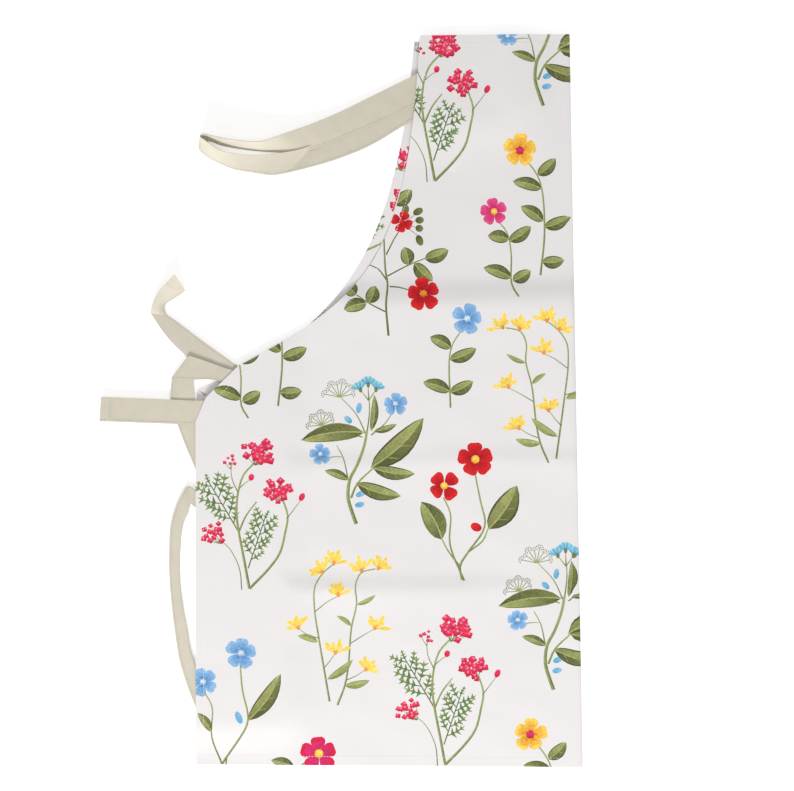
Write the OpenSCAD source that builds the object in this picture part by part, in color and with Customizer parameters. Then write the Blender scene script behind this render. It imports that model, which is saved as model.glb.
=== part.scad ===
/* [Apron panel] */
// Width of one half of the apron, from the centre fold to the side hem
half_w = 400; // [396:1:404]
// Width of one half at the waist corner, where the side hem ends
waist_w = 394; // [392:1:396]
// Height of the waist corner above the bottom edge
waist_y = 366; // [360:1:370]
// Length of the apron from bottom edge to bib edge
apron_l = 763; // [760:1:768]
// Half of the bib's width at its top edge
bib_half = 154; // [150:1:158]
// How much higher the side corner of the bottom edge lies than the fold
skew = 10; // [6:1:14]
// How far the back half slips out past the front half at the bib corner
slip = 6; // [4:1:7]

/* [Cloth and hems] */
// Thickness of the printed cloth
cloth_t = 0.5; // [0.4:0.1:0.6]
// Thickness of a turned hem where it doubles the cloth
hem_t = 0.6; // [0.5:0.1:0.7]
// Depth of the armhole and side hems
hem_w = 8; // [6:1:9]
// Depth of the bib hem and the bottom hem
wide_hem = 10; // [8:1:12]

/* [Tapes] */
// Width of the neck strap
strap_w = 28; // [26:1:28]
// Width of the waist ties
tie_w = 25; // [23:1:25]
// Thickness of a tape
tape_t = 0.8; // [0.6:0.1:1]
// Depth of the end hem of a waist tie
end_hem = 11; // [9:1:12]

/* [Lie of the folded apron] */
// Distance of the centre fold from the middle of the whole
fold_x = 245; // [244:1:248]
// Height that the neck strap reaches where it stands on its edge
edge_h = 26; // [22:1:27]
// Radius of the turn at the far end of the neck strap
turn_r = 12; // [11:1:12]

/* [Hidden] */
$fn = 32;
gap = 0.2;        // between two layers of one half
mid_gap = 0.3;    // between the layers of the two halves
thread_t = 0.1;
thread_w = 1;
// Layers from the table up. The two halves mirror each other about the hinge line of the fold.
level1 = cloth_t + hem_t + gap / 2;
level2 = level1 + tape_t + gap;
axis_z = level2 + tape_t + mid_gap / 2;
level3 = mirrored(level2, tape_t);
level4 = mirrored(level1, tape_t);
tie_end_x = -(2 * fold_x + axis_z);
// Points below are measured from the fold, leftwards negative, and up from the bottom edge.
back_pivot = [-134, 704];
front_pivot = [-134, 720];
turn = [-374, 650];   // centre of the strap's turn, which the hinge of its two runs passes through
bend_l = 70;      // length of strap that bends where it leaves the front bib corner
straight_l = 8;   // straight length of strap beyond that bend
front_armhole = concat(bezier([-bib_half, apron_l], [-170, 528], [-213, 493], [-349, 423]), [[-383, 391]]);
back_armhole = bezier([-bib_half - slip, apron_l - slip], [-182, 534], [-240, 460], [-392, 400]);
lower_route = [back_pivot, [-213, 662], [-246, 647], [-290, 636]];
// Where the lower run of the strap leans over towards its turn, seen from above.
lean_w = 17;
lean_route = [[-289, 634], [-322, 633.5], [-356, 635], [-376, 638]];
// The strap leaves the front bib corner along one straight line, which the upper run carries on.
leave_way = unit([-2, -1]);
leave = front_pivot + bend_l * leave_way;
bend_route = [front_pivot, leave];
upper_route = [leave, leave + straight_l * leave_way, [-239, 669], [-285, 652], [-318, 651]];
edge_route = [[-318, 651], [-340, 657.5], [-368, 662.5]];

// ---- Geometry of a layer ----

// The same layer seen from the other half: heights mirror about the hinge line.
function mirrored(z, t) = 2 * axis_z - z - t;

function bezier(a, b, c, d, n = 20) = [
  for (i = [0 : n]) let (t = i / n, s = 1 - t)
    s * s * s * a + 3 * s * s * t * b + 3 * s * t * t * c + t * t * t * d
];

function reversed(p) = [for (i = [len(p) - 1 : -1 : 0]) p[i]];
function unit(v) = v / norm(v);
function heading(p, i) = unit(
  (i < len(p) - 1 ? unit(p[i + 1] - p[i]) : [0, 0]) + (i > 0 ? unit(p[i] - p[i - 1]) : [0, 0])
);
// The path shifted sideways by d, to the left of its direction of travel.
function beside(p, d) = [for (i = [0 : len(p) - 1]) let (h = heading(p, i)) p[i] + d * [-h[1], h[0]]];

// Puts the origin in the middle of the whole, on the table.
module placed() {
  translate([fold_x, -apron_l / 2, 0]) children();
}

// A flat layer of thickness t with its underside at z.
module layer(points, z, t) {
  placed() translate([0, 0, z]) linear_extrude(t) polygon(points);
}

// A tape of width w along a route.
module tape(route, w, z, t = tape_t) {
  layer(concat(beside(route, w / 2), reversed(beside(route, -w / 2))), z, t);
}

// A strip that lies inside the edge, to the left of the direction of travel.
module edge_strip(edge, depth, z) {
  layer(concat(edge, reversed(beside(edge, depth))), z, hem_t);
}

// ---- Cloth ----

function half_outline(armhole) = concat(
  [[0, 0], [-half_w, skew], [-waist_w, waist_y]],
  reversed(armhole),
  [[0, apron_l - 1]]
);

module cloth() { color([0.93, 0.92, 0.91]) children(); }
module hem() { color([0.88, 0.87, 0.85]) children(); }
module cotton() { color([0.84, 0.80, 0.71]) children(); }
module thread() { color([0.93, 0.90, 0.82]) children(); }

module panel(armhole, z) { cloth() layer(half_outline(armhole), z, cloth_t); }

module bib_hem(corner, z) {
  top = corner[1] - 1;
  hem() edge_strip([[-2, top], [corner[0] + 3, top]], wide_hem, z);
}

// Starts just below the bib hem, a little way along the first stretch of the edge.
module armhole_hem(armhole, z) {
  start = armhole[0] + 0.4 * (armhole[1] - armhole[0]);
  hem() edge_strip(concat([start], [for (i = [1 : len(armhole) - 1]) armhole[i]]), hem_w, z);
}

module side_hem(z) {
  hem() edge_strip([[-waist_w, waist_y - 2], [-half_w, skew + wide_hem]], hem_w, z);
}

module bottom_hem(z) {
  hem() edge_strip([[-half_w + 1, skew], [-2, 0.2]], wide_hem - 1, z);
}

// A box of stitches with a cross in it, which holds a sewn tape end.
module tack(centre, size, z) {
  thread() placed() translate([centre[0], centre[1], z]) {
    linear_extrude(thread_t) difference() {
      square(size, center = true);
      square(size - 2 * thread_w, center = true);
    }
    for (a = [45, -45])
      rotate(a) translate([0, 0, thread_t / 2]) cube([size * 1.25, thread_w, thread_t], center = true);
  }
}

// The end of the neck strap that is sewn down inside a bib corner.
module strap_end(pivot, z) {
  cotton() {
    tape([[pivot[0], pivot[1] + 30], pivot], strap_w, z);
    placed() translate([pivot[0], pivot[1], z]) cylinder(h = tape_t, d = strap_w);
  }
}

// ---- Back half, which lies on the table ----

module back_panel() { panel(back_armhole, 0); }
module back_bib_hem() { bib_hem([-bib_half - slip, apron_l - slip], cloth_t); }
module back_armhole_hem() { armhole_hem(back_armhole, cloth_t); }
module back_side_hem() { side_hem(cloth_t); }
module back_bottom_hem() { bottom_hem(cloth_t); }
module back_strap_end() { strap_end(back_pivot, level1); }
module back_strap_tack() { tack(back_pivot + [0, 20], 14, level1 + tape_t); }
module back_tie_tack() { tack([-360, 386], 14, level1 + tape_t); }

// Sewn end, down between the halves, back up, and out over the hip to its free end.
module back_waist_tie() {
  free_end = [[-424, 486], [-414, 495], [-403, 500], [-402, 503], [-407, 513], [-412, 519], [-421, 508],
    [-427, 503], [-436, 486]];
  cotton() {
    tape([[-359, 396], [-346, 66]], tie_w, level1);
    layer([[-358, 66], [-334, 66], [-334, 68], [-358, 68]], level1, level2 + tape_t - level1);
    layer([[-352, 66], [-327, 66], [-324, 398], [-347, 422], [-370, 408]], level2, tape_t);
    layer(concat([[-347, 422], [-370, 408], [-402, 434], [-417, 447], [-439, 480]],
      reversed(free_end), [[-422, 478]]), level2, tape_t);
  }
}

module back_tie_end_hem() {
  hem_edge = [[-403, 500], [-402, 503], [-407, 513], [-412, 519], [-421, 508], [-414, 497]];
  cotton() layer(hem_edge, level2 + tape_t, tape_t / 2);
}

// ---- Front half, which folds over on top ----

module front_panel() { panel(front_armhole, mirrored(0, cloth_t)); }
module front_bib_hem() { bib_hem([-bib_half, apron_l], mirrored(cloth_t, hem_t)); }
module front_armhole_hem() { armhole_hem(front_armhole, mirrored(cloth_t, hem_t)); }
module front_side_hem() { side_hem(mirrored(cloth_t, hem_t)); }
module front_bottom_hem() { bottom_hem(mirrored(cloth_t, hem_t)); }
module front_strap_end() { strap_end(front_pivot, level4); }
module front_strap_tack() { tack(front_pivot + [0, 20], 14, level4 - thread_t); }
module front_tie_tack() { tack([-350, 409], 12, level4 - thread_t); }

// Sewn end, folded down beside the hip, a slack loop past the side hem, and back up to its free end.
module front_waist_tie() {
  outer = [[-408, 294], [-415, 281], [-422, 259], [-424, 227], [-424, 202], [-422, 173], [-419, 145],
    [-416, 123], [-411, 103], [-401, 74], [-390, 62]];
  inner = [[-374, 66], [-398, 124], [-403, 140], [-406, 162], [-412, 184], [-414, 209], [-413, 227],
    [-411, 262], [-400, 272], [-372, 290]];
  cotton() {
    layer([[-418, 411], [-399, 435], [-342, 416], [-342, 394], [-367, 409]], level4, tape_t);
    layer([[-418, 411], [-399, 435], [-397, 433], [-416, 410]], level3, level4 + tape_t - level3);
    layer([[-418, 411], [-397, 433], [-394, 391], [-389, 364], [-372, 314], [-370, 290], [-382, 284],
      [-395, 314], [-413, 364], [-420, 391]], level3, tape_t);
    layer(concat([[-372, 310], [-394, 304]], outer, inner), level3, tape_t);
    layer([[-396, 62], [-374, 62], [-374, 66], [-396, 66]], level3, level4 + tape_t - level3);
    layer([[-397, 62], [-373, 62], [-363, 390], [-387, 386]], level4, tape_t);
    layer([[tie_end_x + 2, 394], [tie_end_x, 368.5], [-387, 363], [-363, 366], [-363, 390], [-387, 388]],
      level4, tape_t);
  }
}

module front_tie_end_hem() {
  cotton() layer([[tie_end_x + 2, 394], [tie_end_x + end_hem + 2, 393.5], [tie_end_x + end_hem, 368],
    [tie_end_x, 368.5]], level4 + tape_t, tape_t / 2);
}

// The turn of cloth along the fold, round the hinge line.
module centre_fold() {
  cloth() placed() translate([0, apron_l - 1, axis_z]) rotate([90, 0, 0]) difference() {
    cylinder(h = apron_l - 1, r = axis_z);
    translate([0, 0, -1]) cylinder(h = apron_l + 1, r = axis_z - cloth_t);
    translate([-2 * axis_z, -2 * axis_z, -1]) cube([2 * axis_z, 4 * axis_z, apron_l + 1]);
  }
}

// ---- Neck strap ----

// From the back bib corner out to the turn, where it rises onto its edge.
module neck_strap_lower_run() {
  cotton() {
    placed() translate([back_pivot[0], back_pivot[1], level2]) cylinder(h = tape_t, d = strap_w);
    tape(lower_route, strap_w, level2);
    tape(lean_route, lean_w, level2);
  }
}

// A half round turn, standing on its edge on the hinge line of the two runs.
module neck_strap_turn() {
  cotton() placed() translate([turn[0], turn[1], level2 + tape_t]) difference() {
    cylinder(h = edge_h - level2 - tape_t, r = turn_r);
    translate([0, 0, -1]) cylinder(h = edge_h, r = turn_r - tape_t);
    rotate(10) translate([0, -2 * turn_r, -1]) cube([2 * turn_r, 4 * turn_r, edge_h]);
  }
}

// From the turn, on its edge, then flat over the lower run towards the front bib corner.
module neck_strap_upper_run() {
  cotton() {
    tape(edge_route, tape_t, level3, edge_h - level3);
    tape(upper_route, strap_w, level3);
  }
}

// The stretch that bends freely between the upper run and the front bib corner.
module neck_strap_front_bend() {
  cotton() tape(bend_route, strap_w, level3);
}

back_panel();
back_bib_hem();
back_armhole_hem();
back_side_hem();
back_bottom_hem();
back_strap_end();
back_strap_tack();
back_waist_tie();
back_tie_end_hem();
back_tie_tack();
front_panel();
front_bib_hem();
front_armhole_hem();
front_side_hem();
front_bottom_hem();
front_strap_end();
front_strap_tack();
front_waist_tie();
front_tie_end_hem();
front_tie_tack();
centre_fold();
neck_strap_lower_run();
neck_strap_turn();
neck_strap_upper_run();
neck_strap_front_bend();
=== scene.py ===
import math
import random

import bpy
import numpy as np
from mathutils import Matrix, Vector, geometry


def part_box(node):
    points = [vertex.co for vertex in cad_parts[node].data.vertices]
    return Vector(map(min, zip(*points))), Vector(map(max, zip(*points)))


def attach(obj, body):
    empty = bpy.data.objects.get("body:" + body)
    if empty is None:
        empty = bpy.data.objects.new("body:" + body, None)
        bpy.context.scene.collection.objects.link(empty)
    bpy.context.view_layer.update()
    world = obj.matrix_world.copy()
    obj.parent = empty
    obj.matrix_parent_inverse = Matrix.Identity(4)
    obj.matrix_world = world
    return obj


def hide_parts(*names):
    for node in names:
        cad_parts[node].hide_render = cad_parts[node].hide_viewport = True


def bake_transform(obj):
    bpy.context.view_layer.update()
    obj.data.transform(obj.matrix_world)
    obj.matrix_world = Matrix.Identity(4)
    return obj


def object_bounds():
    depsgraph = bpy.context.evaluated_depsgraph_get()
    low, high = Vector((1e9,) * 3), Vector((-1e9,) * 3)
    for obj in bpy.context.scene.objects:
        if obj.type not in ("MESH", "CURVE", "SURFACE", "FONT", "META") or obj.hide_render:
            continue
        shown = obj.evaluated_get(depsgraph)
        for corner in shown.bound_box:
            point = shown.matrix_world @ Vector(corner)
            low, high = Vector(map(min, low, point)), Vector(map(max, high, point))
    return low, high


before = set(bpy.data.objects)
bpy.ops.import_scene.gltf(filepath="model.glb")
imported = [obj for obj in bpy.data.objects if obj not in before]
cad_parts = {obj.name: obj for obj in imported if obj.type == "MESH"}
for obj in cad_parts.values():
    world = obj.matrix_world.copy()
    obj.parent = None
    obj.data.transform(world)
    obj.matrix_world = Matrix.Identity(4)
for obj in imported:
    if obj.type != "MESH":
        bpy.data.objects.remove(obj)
cad_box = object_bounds()

# A printed cotton apron, folded in half along its centre line and laid flat.
# Lengths are in millimetres until place() turns them into the frame's metres. On the table, x is
# measured from the centre fold, leftwards negative, and y up from the bottom edge. On the opened
# cloth, u is negative on the front half and positive on the back half.

FRONT_LOW, FRONT_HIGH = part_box("front_panel")
FOLD_X = FRONT_HIGH.x * 1000
BOTTOM_Y = FRONT_LOW.y * 1000
APRON_L = (FRONT_HIGH.y - FRONT_LOW.y) * 1000
HALF_W = (FRONT_HIGH.x - FRONT_LOW.x) * 1000

CLOTH_T = 0.45
HEM_T = 0.35
TAPE_T = 0.6
HEM_W = 10
WIDE_HEM = 11
STITCH_IN = 1.8    # how far the stitches lie from the inner edge of a hem
TIE_W = 25


def place(points):
    """Millimetres from the fold and the bottom edge, as metres in the frame."""
    return (np.asarray(points, float) + [FOLD_X, BOTTOM_Y, 0]) / 1000


# ---- Camera and light ----

VIEW_X = -184.3
VIEW_Y = 389.7
VIEW_W = 825.8     # width of table in view
VIEW_TURN = -1.024  # degrees
CAMERA_Z = 3.0     # metres


def add_camera():
    camera = bpy.data.cameras.new("camera")
    camera.sensor_width = 36
    camera.lens = camera.sensor_width * CAMERA_Z / (VIEW_W / 1000)
    camera.clip_end = 20
    obj = bpy.data.objects.new("camera", camera)
    obj.location = (*place((VIEW_X, VIEW_Y, 0))[:2], CAMERA_Z)
    obj.rotation_euler = (0, 0, math.radians(VIEW_TURN))
    bpy.context.scene.collection.objects.link(obj)
    bpy.context.scene.camera = obj


def add_area_light(name, location, size, power):
    light = bpy.data.lights.new(name, "AREA")
    light.size = size
    light.energy = power
    obj = bpy.data.objects.new(name, light)
    obj.location = location
    obj.rotation_euler = (-Vector(location)).to_track_quat("-Z", "Y").to_euler()
    bpy.context.scene.collection.objects.link(obj)


def add_light():
    add_area_light("key", (-0.5, -3.1, 1.5), 0.9, 118)
    add_area_light("fill", (0.5, 0.6, 3.0), 2.6, 22)
    world = bpy.data.worlds.new("studio")
    world.use_nodes = True
    background = world.node_tree.nodes["Background"]
    background.inputs["Color"].default_value = (1, 1, 1, 1)
    background.inputs["Strength"].default_value = 0.52
    bpy.context.scene.world = world
    bpy.context.scene.view_settings.view_transform = "Standard"


add_camera()
add_light()


# ---- Lines and curves ----

def bezier(a, b, c, d, steps=20):
    t = np.linspace(0, 1, steps + 1)[:, None]
    s = 1 - t
    a, b, c, d = (np.array(p, float) for p in (a, b, c, d))
    return s ** 3 * a + 3 * s * s * t * b + 3 * s * t * t * c + t ** 3 * d


def smooth_line(points, step):
    """A curve through the points (centripetal Catmull-Rom), with a point about every step."""
    p = np.asarray(points, float)
    p = np.vstack([2 * p[0] - p[1], p, 2 * p[-1] - p[-2]])
    rows = []
    for k in range(1, len(p) - 2):
        a, b, c, d = p[k - 1:k + 3]
        t1 = np.linalg.norm(b - a) ** 0.5
        t2 = t1 + np.linalg.norm(c - b) ** 0.5
        t3 = t2 + np.linalg.norm(d - c) ** 0.5
        count = max(1, math.ceil(np.linalg.norm(c - b) / step))
        for t in np.linspace(t1, t2, count, endpoint=False):
            ab = (a * (t1 - t) + b * t) / t1
            bc = (b * (t2 - t) + c * (t - t1)) / (t2 - t1)
            cd = (c * (t3 - t) + d * (t - t2)) / (t3 - t2)
            abc = (ab * (t2 - t) + bc * t) / t2
            bcd = (bc * (t3 - t) + cd * (t - t1)) / (t3 - t1)
            rows.append((abc * (t2 - t) + bcd * (t - t1)) / (t2 - t1))
    rows.append(p[-2])
    return np.array(rows)


def even_line(points, step):
    """The straight-sided line through the points, cut into equal steps of about that length."""
    p = np.asarray(points, float)
    lengths = np.r_[0, np.cumsum(np.linalg.norm(np.diff(p, axis=0), axis=1))]
    at = np.linspace(0, lengths[-1], max(1, round(lengths[-1] / step)) + 1)
    return np.stack([np.interp(at, lengths, p[:, k]) for k in range(p.shape[1])], axis=1)


def headings(line):
    way = np.gradient(line, axis=0)
    return way / np.linalg.norm(way, axis=1)[:, None]


def towards(angle):
    return np.array([math.cos(angle), math.sin(angle)])


def leftwards(angle):
    return np.array([-math.sin(angle), math.cos(angle)])


def round_circle(sides):
    return np.linspace(0, 2 * math.pi, sides + 1)[:-1]


def right_of(line):
    """Unit vectors to the right of the direction of travel along a flat line."""
    way = headings(line)
    return np.stack([way[:, 1], -way[:, 0]], axis=1)


def ramp(low, high, t):
    """0 at low, 1 at high, smooth between them."""
    s = np.clip((t - low) / (high - low), 0, 1)
    return s * s * (3 - 2 * s)


# ---- The cut of the cloth ----

FRONT_CORNER = (-154, APRON_L)
BACK_CORNER = (-160, APRON_L - 6)
FRONT_ARMHOLE = np.vstack([bezier(FRONT_CORNER, (-170, 528), (-213, 493), (-349, 423)), [(-383, 391)]])
BACK_ARMHOLE = bezier(BACK_CORNER, (-182, 534), (-240, 460), (-392, 400)) * [-1, 1]
SIDE_TOP = (394, 366)
SIDE_FOOT = (HALF_W, 10)
TOP_MIDDLE = (0, APRON_L - 1)


def mirrored(point):
    return (-point[0], point[1])


# Round the opened cloth, with the cloth on the left and the outside on the right.
EDGES = {
    "bottom": [mirrored(SIDE_FOOT), (0, 0), SIDE_FOOT],
    "back_side": [SIDE_FOOT, SIDE_TOP],
    "back_armhole": np.vstack([[SIDE_TOP], BACK_ARMHOLE[::-1]]),
    "bib": [mirrored(BACK_CORNER), TOP_MIDDLE, FRONT_CORNER],
    "front_armhole": np.vstack([FRONT_ARMHOLE, [mirrored(SIDE_TOP)]]),
    "front_side": [mirrored(SIDE_TOP), mirrored(SIDE_FOOT)],
}
EDGE_STEP = 4
OUTLINE = np.vstack([even_line(edge, EDGE_STEP)[:-1] for edge in EDGES.values()])


# ---- The lie of the cloth ----

FOLD_W = 4         # how far in from the fold the cloth starts to turn
FOLD_OUT = 1.5     # how far past the fold line the turn reaches
BACK_Z = 0.45      # the middle of the back half's cloth, flat on the table
FRONT_Z = 1.6      # where nothing but the back half is under it
TOP_Z = 6.0        # the height it never passes, so that it clears the table when it is opened
TIE_LIFT = 4.5     # over the ties, along the side
CORNER_LIFT = 4.3  # over the strap ends, at the bib corner
FOLD_LIFT = 0.4    # along the fold
# Lines along the fold that both faces of the cloth are cut at, so that they stay apart when it bends.
FOLD_COLUMNS = np.array([-7.5, -5.4, -4, -3.2, -2.4, -1.6, -0.8, 0, 0.8, 1.6, 2.4, 3.2, 4, 5.4, 7.5])


def ripple(x, y, wavelength, seed, waves=7):
    """A smooth random surface between about -1 and 1."""
    draw = random.Random(seed)
    total = np.zeros_like(x)
    for _ in range(waves):
        angle = draw.uniform(0, math.pi)
        scale = 2 * math.pi / (wavelength * draw.uniform(0.7, 1.5))
        phase = draw.uniform(0, 2 * math.pi)
        total += np.sin((x * math.cos(angle) + y * math.sin(angle)) * scale + phase)
    return total / math.sqrt(waves)


def pressed_crease(distance, above, below, blunt=1.6):
    """A ridge 1 high pressed into the cloth: an even slope on its upper side, a long run out below."""
    d = np.sqrt(distance ** 2 + blunt ** 2) - blunt
    slope = 1 - d / above
    even = 0.5 * (slope + np.sqrt(slope ** 2 + 0.01))
    return np.where(distance > 0, even, np.exp(-d / below))


def front_height(x, y):
    sway = 2.5 * np.sin(x / 70)
    z = FRONT_Z + FOLD_LIFT * ramp(-70, -5, x)
    z = z + TIE_LIFT * ramp(-270, -318, x) * ramp(15, 58, y) * ramp(490, 438, y)
    z = z + CORNER_LIFT * ramp(-10, -58, x) * ramp(620, 686, y)
    z = z + 4.3 * pressed_crease(y - 487 - sway, 22, 80) * ramp(-330, -230, x)
    z = z + 2.2 * pressed_crease(y - 188 - 0.6 * sway, 13, 34) * ramp(-20, -130, x)
    z = z + 1.3 * pressed_crease(y - 318 + sway, 12, 18) * ramp(-330, -280, x)
    z = z + 0.30 * ripple(x, y, 110, 3) + 0.12 * ripple(x, y, 55, 7) + 0.06 * ripple(x, y, 26, 5)
    return TOP_Z - 0.5 * ((TOP_Z - z) + np.sqrt((TOP_Z - z) ** 2 + 0.12 ** 2))


def back_height(x, y):
    return BACK_Z + 0.10 * (1 + ripple(x, y, 90, 11)) * ramp(-5, -40, x)


def cloth_point(u, v):
    """Where a point of the opened cloth lies, at the middle of its thickness, in millimetres."""
    u, v = np.asarray(u, float), np.asarray(v, float)
    x = np.minimum(-np.abs(u), -FOLD_W)
    top, low = front_height(x, v), back_height(x, v)
    angle = np.clip(np.abs(u) / FOLD_W, 0, 1) * math.pi / 2
    turned_x = -FOLD_W + (FOLD_W + FOLD_OUT) * np.cos(angle)
    z = (top + low) / 2 - np.sign(u) * (top - low) / 2 * np.sin(angle)
    return np.stack([np.where(np.abs(u) < FOLD_W, turned_x, x), v, z], axis=-1)


def cloth_normal(u, v):
    """The way the printed side faces there."""
    e = 0.4
    across = cloth_point(u + e, v) - cloth_point(u - e, v)
    along = cloth_point(u, v + e) - cloth_point(u, v - e)
    n = np.cross(across, along)
    return n / np.linalg.norm(n, axis=-1)[:, None]


def front_share(u):
    """1 on the front half, 0 on the back half, and between them round the fold."""
    return np.clip((1 - np.asarray(u, float) / FOLD_W) / 2, 0, 1)


# ---- Colours ----

def srgb(r, g, b):
    c = np.array([r, g, b]) / 255
    return np.where(c <= 0.04045, c / 12.92, ((c + 0.055) / 1.055) ** 2.4)


CLOTH = srgb(227, 224, 223)
TAPE = srgb(214, 207, 190)
THREAD = srgb(238, 236, 231)
STEM = srgb(108, 122, 66)
PALE_STEM = srgb(156, 168, 108)
BROWN_STEM = srgb(112, 104, 62)
DARK_LEAF = srgb(84, 88, 52)
LEAF = srgb(126, 130, 76)
LIGHT_LEAF = srgb(172, 176, 110)
FERN = srgb(80, 112, 62)
PALE_FERN = srgb(128, 150, 88)
RED = srgb(186, 22, 34)
BRIGHT_RED = srgb(222, 40, 42)
CRIMSON = srgb(216, 30, 66)
PINK = srgb(236, 66, 104)
DEEP_PINK = srgb(214, 50, 112)
ROSE = srgb(234, 88, 146)
ORANGE = srgb(240, 158, 46)
YELLOW = srgb(252, 218, 96)
BLUE = srgb(104, 158, 212)
PALE_BLUE = srgb(152, 192, 228)
TEAL = srgb(74, 172, 208)
PALE_TEAL = srgb(120, 196, 222)
ICE = srgb(206, 222, 236)
INK_DOT = srgb(88, 92, 82)


# ---- The print: each shape is a polygon on the opened cloth, with two colours that run together ----

class Print:
    def __init__(self):
        self.outlines = []
        self.near = []
        self.far = []
        self.origin = []
        self.axis = []

    def fill(self, points, near, far, start, end):
        """near's colour at start runs to far's colour at end."""
        way = np.subtract(end, start)
        self.outlines.append(np.asarray(points, float))
        self.near.append(near)
        self.far.append(far)
        self.origin.append(start)
        self.axis.append(way / max(way @ way, 1e-6))


class Pen:
    """Draws in millimetres from a plant's foot, y upwards."""

    def __init__(self, page, x, y, flip=False):
        self.page = page
        self.foot = np.array([x, y], float)
        self.side = np.array([-1 if flip else 1, 1])
        self.draw = random.Random(round(x * 31 + y * 17))

    def at(self, points):
        return self.foot + self.side * np.asarray(points, float)

    def fill(self, points, near, far, start, end):
        self.page.fill(self.at(points), near, far, self.at(start), self.at(end))

    def stem(self, points, width=1.9, near=STEM, far=PALE_STEM):
        line = smooth_line(points, 7)
        half = 1.2 * np.linspace(width / 2, width * 0.34, len(line))[:, None] * right_of(line)
        self.fill(np.vstack([line + half, (line - half)[::-1]]), near, far, line[0], line[-1])
        if width > 1.5:
            lit = np.vstack([line - half * 0.1, (line - half * 0.75)[::-1]])
            self.fill(lit, far, PALE_STEM, line[0], line[-1])

    def leaf(self, base, tip, width, dark=DARK_LEAF, light=LEAF, bend=0.06, full=0.72):
        base, tip = np.array(base, float), np.array(tip, float)
        way = tip - base
        side = np.array([way[1], -way[0]]) / np.linalg.norm(way)
        t = np.linspace(0, 1, 9)
        rib = base + t[:, None] * way + (bend * np.sin(math.pi * t) * np.linalg.norm(way))[:, None] * side
        half = (width / 2 * np.sin(math.pi * t ** 0.9) ** full)[:, None] * side
        half[-1] = 0
        self.fill(np.vstack([rib + half, (rib - half)[-2:0:-1]]), dark * 0.8, dark, base, tip)
        for sign, near, far in ((1, dark, light), (-1, light, LIGHT_LEAF)):
            edge = rib + sign * 0.84 * half
            self.fill(np.vstack([rib, edge[-2:0:-1]]), near, far, base, tip)
            if width > 6:
                for k in (2, 4, 6):
                    end = rib[k + 1] + sign * 0.8 * half[k + 1]
                    thin = 0.018 * way
                    self.fill([rib[k] - thin, rib[k] + thin, end], light, LIGHT_LEAF, rib[k], end)
        thin = 0.028 * width * side + 0.12 * side
        self.fill(np.vstack([rib[:-1] + thin, (rib - thin)[::-1]]), LIGHT_LEAF, PALE_STEM, base, tip)

    def petal(self, centre, angle, length, width, near, far, notch=0.05, inner=0.1):
        turn = round_circle(14)
        along = (1 + inner) / 2 + (1 - inner) / 2 * np.cos(turn)
        along = along - notch * np.exp(-(np.minimum(turn, 2 * math.pi - turn) / 0.3) ** 2)
        across = width / 2 * np.sin(turn) * (0.78 + 0.34 * np.cos(turn))
        c, s = math.cos(angle), math.sin(angle)
        points = np.stack([along * length * c - across * s, along * length * s + across * c], axis=1)
        end = np.array(centre) + [length * c, length * s]
        self.fill(np.array(centre) + points, near, far, centre, end)

    def flower(self, centre, radius, petals, near, far, heart=YELLOW, core=ORANGE, turn=90, full=1.0):
        centre = np.array(centre, float)
        width = full * 1.62 * radius * math.sin(math.pi / petals)
        for k in range(petals):
            angle = math.radians(turn + 360 * k / petals + self.draw.uniform(-5, 5))
            length = radius * self.draw.uniform(0.93, 1.05)
            self.petal(centre, angle, length, width, near, far)
            rim = far * 0.5 + near * 0.5
            self.petal(centre, angle, length * 0.78, width * 0.66, near * 0.9, rim, inner=0.12)
            for lean in (-0.24, 0, 0.24):
                streak = angle + lean
                tip = centre + 0.66 * length * towards(streak)
                thin = 0.045 * radius * leftwards(streak)
                self.fill([centre + thin, centre - thin, tip], near * 0.62, near, centre, tip)
        self.disc(centre, 0.23 * radius, heart, core)
        for k in range(7):
            angle = 2 * math.pi * k / 7
            spot = centre + 0.21 * radius * towards(angle)
            self.disc(spot, 0.05 * radius, core, core * 0.7, 5)

    def disc(self, centre, radius, near, far, sides=11):
        turn = round_circle(sides)
        ring = np.stack([np.cos(turn), np.sin(turn)], axis=1) * radius
        self.fill(centre + ring, near, far, centre, np.array(centre) + [0, -radius])

    def bud(self, base, tip, width, near, far):
        base, tip = np.array(base, float), np.array(tip, float)
        way = tip - base
        side = np.array([way[1], -way[0]]) / np.linalg.norm(way)
        turn = round_circle(12)
        ring = (0.5 - 0.5 * np.cos(turn))[:, None] * way + (width / 2 * np.sin(turn))[:, None] * side
        self.fill(base + ring, near, far, base, tip)

    def umbel(self, centre, radius, florets, foot, near=CRIMSON, far=PINK):
        """A loose head of small lobed florets on their own short stems."""
        centre, foot = np.array(centre, float), np.array(foot, float)
        spots = []
        for k in range(florets):
            reach = radius * math.sqrt((k + 0.4) / florets) * self.draw.uniform(0.8, 1.1)
            angle = 2.4 * k + self.draw.uniform(-0.4, 0.4)
            spots.append(centre + reach * np.array([math.cos(angle), 0.8 * math.sin(angle)]))
        for spot in spots[::2]:
            self.stem([foot, (foot + spot) / 2 + [0, -0.6], spot], 0.7)
        for k, spot in enumerate(sorted(spots, key=lambda p: -p[1])):
            size = radius * self.draw.uniform(0.19, 0.28)
            turn = round_circle(12)
            lobes = size * (1 + 0.2 * np.cos(4 * turn + k))
            ring = np.stack([np.cos(turn), 0.9 * np.sin(turn)], axis=1) * lobes[:, None]
            dark = near * self.draw.uniform(0.6, 0.95)
            self.fill(spot + ring, far, dark, spot + [0, size * 0.9], spot - [0, size])
            glint = spot + size * np.array([self.draw.uniform(-0.4, 0.4), 0.3])
            self.disc(glint, size * 0.3, ICE * 0.45 + far * 0.55, far, 5)

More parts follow.
